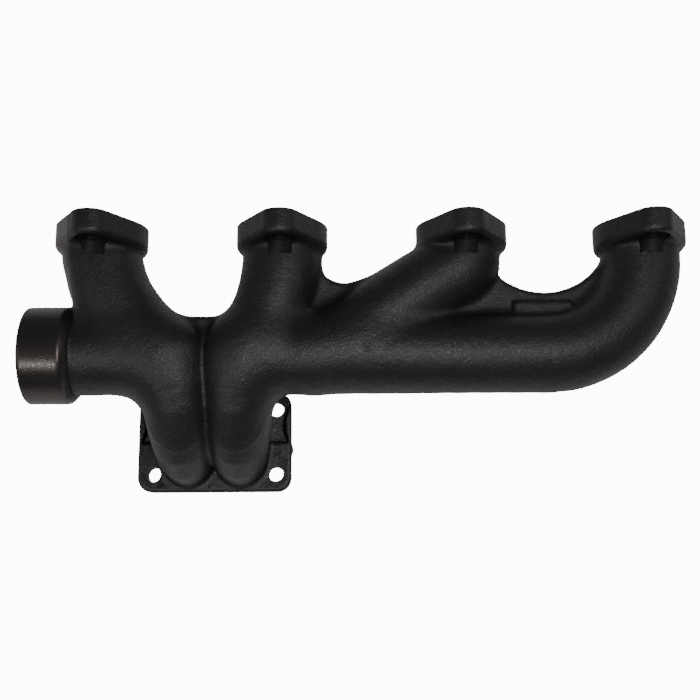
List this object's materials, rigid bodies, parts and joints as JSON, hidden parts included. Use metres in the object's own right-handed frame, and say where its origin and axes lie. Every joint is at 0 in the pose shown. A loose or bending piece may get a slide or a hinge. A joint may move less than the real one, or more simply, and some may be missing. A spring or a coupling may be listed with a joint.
{
  "type": "exhaust manifold",
  "caption": "Cast-iron log exhaust manifold with flanged runners, a slip socket at one end and twin risers on a divided turbocharger flange.",
  "frame": {"origin": "centre of the turbocharger flange's mating face", "axes": "+X along the engine from port 1 to port 4, +Y towards the cylinder head, +Z away from the turbocharger flange's face"},
  "size_m": [0.4595, 0.182, 0.1135],
  "materials": {
    "coated_iron": "near-black coated sand casting, fine grain",
    "worked_iron": "near-black coated casting with machined sealing faces, bores and spot faces"
  },
  "bodies": {
    "root": {"runner_1": "coated_iron", "runner_2": "coated_iron", "runner_3": "coated_iron", "runner_4": "coated_iron", "socket_neck": "coated_iron", "front_log": "coated_iron", "rear_log": "coated_iron", "front_riser": "coated_iron", "rear_riser": "coated_iron", "divider_wall": "coated_iron", "web_2_3": "coated_iron", "web_3_4": "coated_iron", "web_pad": "coated_iron", "port_flange_1": "worked_iron", "port_flange_2": "worked_iron", "port_flange_3": "worked_iron", "port_flange_4": "worked_iron", "slip_socket": "worked_iron", "turbo_flange": "worked_iron"}
  },
  "joints": []
}
